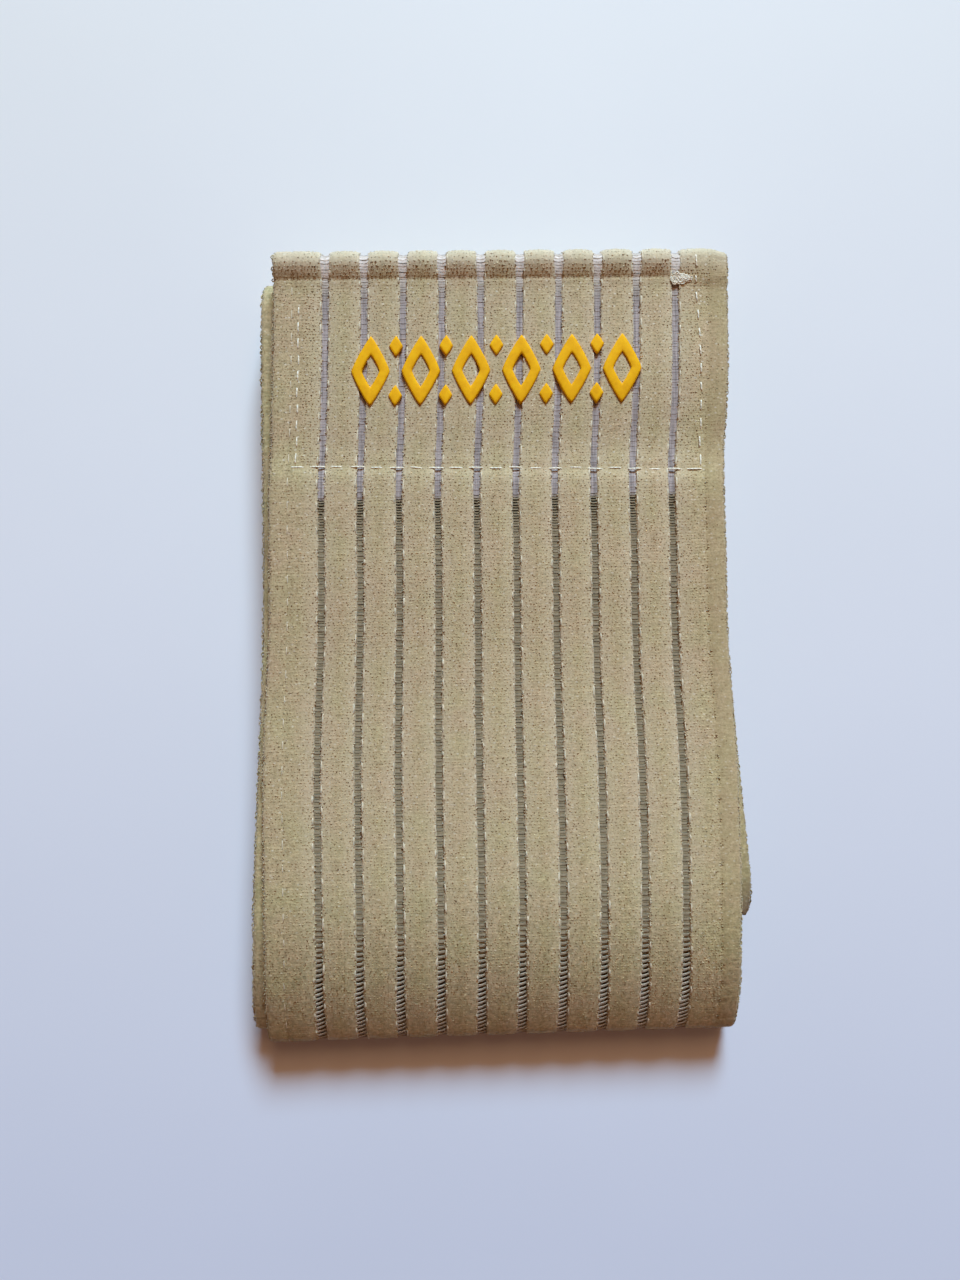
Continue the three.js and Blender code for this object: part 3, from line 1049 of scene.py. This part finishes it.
# %% The sewing thread finish
sewing_thread, tree, surface = new_finish("sewing_thread")
ply_inputs = {"Vector": packed_place(tree), "Scale": 900.0, "Distortion": 2.0}
ply = add_node(tree, "TexWave", ply_inputs, bands_direction="DIAGONAL").outputs["Fac"]
tint = add_ramp(tree, ply, [(0.1, (0.72, 0.63, 0.43)), (0.6, (0.91, 0.83, 0.63))])
dress_surface(tree, surface, tint, ply, 0.5, 0.04, {"Roughness": 0.5, "Sheen Weight": 0.1})

# %% Sew a row of stitches between two places on the strap
thread_sunk = 0.6
arch_fullness = 0.32
stitch_wobble = 0.07
arch_jitter = 0.04
stitch_rings = 9


def round_turn(corners):
    """Angles of the corners of a thread's section."""
    return np.linspace(0, 2 * math.pi, corners, endpoint=False)


def sew_row(start, end, pitch, shown, lift, radius):
    """Arches of thread between two (across, run) places; shown is the least and most share that shows."""
    start, end = np.array(start, float), np.array(end, float)
    count = max(1, round(np.linalg.norm(end - start) / pitch))
    way = (end - start) / np.linalg.norm(end - start)
    sideways = np.array([-way[1], way[0]])
    share = np.linspace(0, 1, stitch_rings)
    out, up = radius * np.cos(round_turn(6)), radius * np.sin(round_turn(6))
    rows = []
    for number in range(count):
        middle = start + (end - start) * (number + 0.5) / count + sideways * rng.normal(0, stitch_wobble)
        length = pitch * rng.uniform(*shown)
        slant = rng.normal(0, stitch_wobble)
        spot = middle + np.outer((share - 0.5) * length, way) + np.outer((share - 0.5) * slant, sideways)
        sunk = thread_sunk * (1 - np.sin(math.pi * share) ** arch_fullness)
        arch = half_rib + crown + lift - sunk + rng.normal(0, arch_jitter)
        rows.append(place_on_roll(
            spot[:, 0, None] + sideways[0] * out, spot[:, 1, None] + sideways[1] * out, arch[:, None] + up,
        ))
    return np.stack(rows)


def on_seam(across):
    return across, seam_run + seam_slant * across


row_start = on_seam(groove_middles[0] - 0.85 - 1.5 * groove_pitch / 2)
row_end = on_seam(seam_right + 0.65)
left_top = (seam_left, crease_run + 4.0)
right_top = (seam_right - 1.45, crest_run - 1.2)
stitches = [
    sew_row(row_start, row_end, pitch=groove_pitch / 2, shown=(0.84, 1.0), lift=0.03, radius=0.135),
    sew_row(left_top, on_seam(seam_left), pitch=2.65, shown=(0.66, 0.92), lift=0.07, radius=0.135),
    sew_row(right_top, on_seam(seam_right), pitch=3.0, shown=(0.62, 0.8), lift=0.11, radius=0.15),
]
points, faces = join_strips([skin_rings(row) for row in stitches])
seam_stitches = make_piece("seam_stitches", points, faces, sewing_thread)

# %% [markdown]
# ## The back tack
# Where the seam begins the machine sews back and forth, and the thread ends stay as a small messy knot over
# the last groove. One lump with a bump map would look like wax. It is a heap of seeded loops, each drawn as
# a bent ring of thread, because every loop bends another way.

# %% Tie the back tack
tack_middle = (groove_middles[-1] + 0.9, crease_run + 0.4)
tack_size = (1.6, 1.2)
tack_taper = (1.05, 0.6)
tack_loops = 46
tack_points = 26
tack_thread = 0.12
loop_sizes = (0.15, 1.0)
loop_turns = (0.6, 1.0)
loop_tilt = 0.15
loop_scatter = (0.2, 0.12)
loop_wave, heap_step = 0.03, 0.002
tack_share = np.linspace(0, 2 * math.pi, tack_points)
tack_turn = round_turn(5)
rings = []
for number in range(tack_loops):
    wide, tall = rng.uniform(*loop_sizes), rng.uniform(*loop_sizes)
    tilt, start = rng.uniform(-loop_tilt, loop_tilt), rng.uniform(0, 2 * math.pi)
    swing = tack_share * rng.uniform(*loop_turns) + start
    across = tack_size[0] * wide * np.cos(swing) + rng.normal(0, loop_scatter[0])
    along = tack_size[1] * tall * np.sin(swing * rng.choice([1, 2])) + rng.normal(0, loop_scatter[1])
    along = tilt * across + along * np.interp(across, [-tack_size[0], tack_size[0]], tack_taper)
    up = half_rib + loop_wave * np.sin(3 * swing + number) + heap_step * number
    side = np.stack([np.gradient(along), -np.gradient(across)])
    side /= np.linalg.norm(side, axis=0) + 1e-9
    out = tack_thread * np.cos(tack_turn)
    rings.append(place_on_roll(
        tack_middle[0] + across[:, None] + side[0][:, None] * out,
        tack_middle[1] + along[:, None] + side[1][:, None] * out,
        up[:, None] + tack_thread * np.sin(tack_turn),
    ))
points, faces = skin_rings(np.stack(rings))
back_tack = make_piece("back_tack", points, faces, sewing_thread)

# %% [markdown]
# ## Selvedge dashes
# On the left selvedge a pale thread shows as short dashes along the shallow line. The stitch helper would
# do, but these are all alike and lie deeper, so one array of short bent tubes is enough.

# %% Sew the left selvedge
dash_across = -(end_rib_middle + selvedge)
dash_pitch = 3.8
dash_length = 1.5
dash_radius = 0.11
dash_lift = 0.1
dash_bend = 0.5
dash_jitter = 0.15
share = np.linspace(-0.5, 0.5, 7)
dash_runs = np.arange(crease_run + 2, outer_run - 6, dash_pitch)
dash_runs = dash_runs + rng.normal(0, dash_jitter, dash_runs.shape)
dash_level = half_rib - selvedge_dip + dash_lift - dash_bend * share[:, None] ** 2
rings = place_on_roll(
    dash_across + dash_radius * np.cos(round_turn(5)),
    dash_runs[:, None, None] + dash_length * share[:, None],
    dash_level + dash_radius * np.sin(round_turn(5)),
)
points, faces = skin_rings(rings)
selvedge_dashes = make_piece("selvedge_dashes", points, faces, filament)

# %% [markdown]
# ## The hook tape
# Under the sewn end lies a pale tape whose hooks grip the plush when the wrap is worn. From above only its
# back shows, through the grooves. The tape is a thin woven plate with round corners. A flat plate would cut
# into the strap where the seams pull it down, so the tape is a grid that gives way with the strap. Its hooks
# are small bent pegs in staggered rows on the underside, where the side view shows them.

# %% The hook tape finish
weave_scale = 320.0
hook_nylon, tree, surface = new_finish("hook_nylon")
weave_inputs = {"Vector": packed_place(tree), "Scale": weave_scale, "Distortion": 1.5, "Detail": 2.0}
weft, warp = (
    add_node(tree, "TexWave", weave_inputs, bands_direction=direction).outputs["Fac"] for direction in "YX"
)
weave = combine(tree, "MULTIPLY", weft, warp)
tint = add_ramp(tree, weave, [(0.0, (0.58, 0.55, 0.62)), (0.5, (0.78, 0.76, 0.83))])
dress_surface(tree, surface, tint, weave, 0.5, 0.08, {"Roughness": 0.55})

# %% Cut the tape
tape_low, tape_high = (np.array(corner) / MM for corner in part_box("hook_patch"))
tape_width = 67.0
tape_corner = 2.0
backing = 0.55
tape_back = tape_high[2]
tape_middle_y = tape_top_y - tape_length / 2
tape_follow = 0.46
tape_step = 1.2
corner_turn = np.linspace(0, quarter, 6)
corner_cut = tape_corner * (1 - np.sin(corner_turn))
corner_along = tape_length / 2 - tape_corner * (1 - np.cos(corner_turn))
side_steps = round((tape_length - 2 * tape_corner) / tape_step)
side_along = np.linspace(corner_along[-1], -corner_along[-1], side_steps)[1:-1]
tape_along = np.concatenate([corner_along, side_along, -corner_along[::-1]])
tape_half = tape_width / 2 - np.concatenate([corner_cut, 0 * side_along, corner_cut[::-1]])


def tape_place(across, along, up):
    """A place on the tape, given from its middle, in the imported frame; it gives way with the strap."""
    along = along + tape_middle_y
    run = run_at(along)
    up = up + tape_follow * (sewn_down(across / sewn_spread, run) + swollen(across / sewn_spread, run))
    along = along + across * leaning(along)
    across, along, up = np.broadcast_arrays(across, along, up)
    return np.stack([across + packet_origin[0], along + packet_origin[1], up], axis=-1) * MM


share = np.linspace(-1, 1, round(tape_width / tape_step))
section_across = np.concatenate([share, share[::-1]])
section_level = np.concatenate([0 * share, 0 * share - backing])
rings = tape_place(tape_half[:, None] * section_across, tape_along[:, None], tape_back + section_level)
points, faces = skin_rings(rings[None])
hook_tape = make_piece("hook_tape", points, faces, hook_nylon)
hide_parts("hook_patch")

# %% Plant the hooks
hook_pitch = 1.7
hook_margin = 2.0
hook_height = tape_back - backing - tape_low[2]
hook_bend = np.array([0.0, 0.0, 0.1, 0.35, 0.5])
hook_drop = np.array([-0.05, 0.55, 0.85, 0.9, 0.6]) * hook_height
hook_radius = np.array([0.16, 0.13, 0.12, 0.1, 0.06])
across = np.arange(-tape_width / 2 + hook_margin, tape_width / 2 - hook_margin, hook_pitch)
along = np.arange(-tape_length / 2 + hook_margin, tape_length / 2 - hook_margin, hook_pitch)
across, along = (grid.ravel() for grid in np.meshgrid(across, along))
across = across + np.where(np.round(along / hook_pitch) % 2 == 0, 0, hook_pitch / 2)
way = np.where(rng.random(across.shape) < 0.5, -1, 1)
turn = np.radians([45, 135, 225, 315])
rings = tape_place(
    (across[:, None] + way[:, None] * hook_bend)[:, :, None] + hook_radius[:, None] * np.cos(turn),
    along[:, None, None] + hook_radius[:, None] * np.sin(turn),
    (tape_back - backing - hook_drop)[None, :, None],
)
points, faces = skin_rings(rings)
tape_hooks = make_piece("tape_hooks", points, faces, hook_nylon)

# %% [markdown]
# ## The raised print
# The sewn end carries a thick yellow print that stands up from the plush. Here it is a plain border of open
# lozenges with small diamonds between them. A flat decal would miss its height, so every lozenge is a ring
# with a domed section and every diamond a domed cushion, and all of them follow the bend of the strap.

# %% The print finish
puff_print, tree, surface = new_finish("puff_print")
grain = noise(tree, packed_place(tree), 900.0, 4.0, 0.6)
yellows = [(0.3, (0.86, 0.40, 0.001)), (0.55, (0.95, 0.47, 0.001)), (0.8, (0.99, 0.54, 0.004))]
tint = add_ramp(tree, grain, yellows)
dress_surface(tree, surface, tint, grain, 0.3, 0.06, {"Roughness": 0.7, "Specular IOR Level": 0.15})

# %% The shape of a lozenge
lozenge_stroke = 1.6
print_rise = 0.36
print_root = 0.3
print_fullness = 0.2
print_level = half_rib + crown * 0.6
outline_steps = 40
corner_softness = 1.12
turn = round_turn(outline_steps)
softened = np.abs(np.cos(turn)) ** corner_softness + np.abs(np.sin(turn)) ** corner_softness
softened = softened ** (1 / corner_softness)
outline_across, outline_along = np.cos(turn) / softened, np.sin(turn) / softened
section_turn = np.linspace(0, math.pi, 8)
ring_inward = lozenge_stroke * (0.5 - 0.5 * np.cos(section_turn))
ring_rise = -print_root + (print_root + print_rise) * np.sin(section_turn) ** print_fullness
cushion_inward = np.array([0.0, 0.02, 0.12, 0.35])
cushion_rise = np.array([-print_root, print_rise - 0.2, print_rise - 0.04, print_rise])


def print_shape(middle, inward, rise, half):
    """Rings of a lozenge drawn in from its outline by each inward distance, at each height above the rib."""
    half_across = half[0] - inward[:, None] * math.hypot(*half) / half[1]
    half_along = half[1] - inward[:, None] * math.hypot(*half) / half[0]
    across = middle[0] + half_across * outline_across
    along = middle[1] + half_along * outline_along
    return place_on_roll(across, along, print_level + rise[:, None])


print("print stands", print_rise, "mm above the ribs")

# %% Print the border
print_middle = (-0.6, dome_run)
lozenge_pitch = 8.3
lozenge_count = 6
lozenge_half = (3.25, 5.7)
diamond_half = (1.15, 1.7)
diamond_offset = 3.95
here = np.arange(len(section_turn) * outline_steps).reshape(-1, outline_steps)
ahead = np.roll(here, -1, axis=0)
ring_quads = np.stack([here, ahead, np.roll(ahead, -1, 1), np.roll(here, -1, 1)], axis=-1)
strips = []
for number in range(lozenge_count):
    across = print_middle[0] + (number - (lozenge_count - 1) / 2) * lozenge_pitch
    ring = print_shape((across, print_middle[1]), ring_inward, ring_rise, lozenge_half)
    strips.append((ring.reshape(-1, 3), ring_quads.reshape(-1, 4).tolist()))
    if number == lozenge_count - 1:
        continue
    for side in (-diamond_offset, diamond_offset):
        spot = (across + lozenge_pitch / 2, print_middle[1] + side)
        strips.append(skin_rings(print_shape(spot, cushion_inward, cushion_rise, diamond_half)[None]))
points, faces = join_strips(strips)
raised_print = make_piece("raised_print", points, faces, puff_print)

# %% [markdown]
# ## The table
# The packet lies on a plain pale table. Its tint is painted a little bluer and darker towards the viewer, as
# painted light for the window's light dying away. More lamps could give that, but they would also change the
# shadows, so the table's tint carries it.


# %% Lay the table
def across_stage(tree, low, high):
    """0 on the viewer's side of the stage and 1 on the hem side."""
    return ramp_value(tree, add_node(tree, "SeparateXYZ", {0: packed_place(tree)}).outputs["Y"], low, high)


table_half = 2.0
table_finish, tree, surface = new_finish("pale_table")
mottle = noise(tree, packed_place(tree), 14.0, 3.0)
tint = add_ramp(tree, mottle, [(0.3, (0.79, 0.805, 0.83)), (0.7, (0.81, 0.825, 0.85))])
# painted light: the table is painted darker and bluer towards the viewer and brighter on the hem side
light_falloff_stops = [(0.0, (0.862, 0.866, 0.912)), (0.48, (1.0, 0.975, 0.94)), (1.0, (1.052, 1.015, 0.902))]
light_falloff = add_ramp(tree, across_stage(tree, -0.1, 0.11), light_falloff_stops)
tree.links.new(shaded(tree, tint, light_falloff), surface.inputs["Base Color"])
surface.inputs["Roughness"].default_value = 0.7
corners = table_half * np.array([(-1, -1, 0), (1, -1, 0), (1, 1, 0), (-1, 1, 0)])
table = make_object("table", corners, [(0, 1, 2, 3)], table_finish)
print("table side in m:", 2 * table_half)

# %% [markdown]
# ## A pale wall
# From a low angle the eye would look past the table into the dark. A real photo studio hangs paper behind
# the object. Here a ring of faintly glowing wall stands far out. It only shows to the camera and lights
# nothing, so the light on the packet stays what the lamps give.

# %% Stand the wall round the table
wall_radius = 0.75
wall_height = 1.2
wall_sides = 64
wall_finish, tree, surface = new_finish("pale_wall")
# painted light: the wall's glow is dimmer towards the viewer, like the light on the table
glows = [(0.0, (0.40, 0.44, 0.52)), (1.0, (0.88, 0.91, 0.95))]
glow = add_ramp(tree, across_stage(tree, -wall_radius, wall_radius), glows)
tree.links.new(glow, surface.inputs["Emission Color"])
surface.inputs["Emission Strength"].default_value = 1.0
surface.inputs["Base Color"].default_value = (0.0, 0.0, 0.0, 1.0)
surface.inputs["Specular IOR Level"].default_value = 0.0
turn = round_turn(wall_sides)
foot = np.column_stack([wall_radius * np.cos(turn), wall_radius * np.sin(turn), np.zeros(wall_sides)])
here = np.arange(wall_sides)
ahead = np.roll(here, -1)
wall_faces = np.column_stack([ahead, here, here + wall_sides, ahead + wall_sides]).tolist()
wall = make_object("wall", np.vstack([foot, foot + [0, 0, wall_height]]), wall_faces, wall_finish)
wall.data.shade_smooth()
for ray in ("diffuse", "glossy", "transmission", "shadow"):
    setattr(wall, "visible_" + ray, False)
print("wall:", wall_sides, "sides")

# %% [markdown]
# ## The light
# A broad cool window on the hem side gives the soft shadow under the nose fold. A weaker warm ceiling lamp
# and a weak warm surround keep the folds from going black. One bright sky would be simpler, but it would
# leave no shadow to tell how high the packet is.


# %% Hang the lamps and set the surround
def hang_lamp(name, distance, elevation, heading, size, power, colour):
    """A round soft lamp that faces the packet; its heading is turned from the hem side to the right."""
    data = bpy.data.lights.new(name, "AREA")
    data.shape = "DISK"
    data.size = size
    data.energy = power
    data.color = colour
    lamp = bpy.data.objects.new(name, data)
    level = distance * math.cos(math.radians(elevation))
    lamp.location = (
        level * math.sin(math.radians(heading)),
        level * math.cos(math.radians(heading)),
        distance * math.sin(math.radians(elevation)),
    )
    lamp.rotation_euler = (-lamp.location).to_track_quat("-Z", "Y").to_euler()
    bpy.context.scene.collection.objects.link(lamp)
    print(name, "lamp at mm:", [round(value / MM) for value in lamp.location])


hang_lamp(
    "window", distance=2.5, elevation=34.0, heading=8.6, size=0.75, power=104.5, colour=(0.468, 0.714, 0.973)
)
hang_lamp(
    "ceiling", distance=2.0, elevation=50, heading=14, size=1.0, power=10.4, colour=(1.0, 0.585, 0.30)
)
world = bpy.data.worlds.new("surround")
world.use_nodes = True
sky = world.node_tree.nodes["Background"]
sky.inputs["Color"].default_value = (1.0, 0.485, 0.315, 1.0)
sky.inputs["Strength"].default_value = 0.15
bpy.context.scene.world = world
bpy.context.scene.view_settings.view_transform = "Standard"
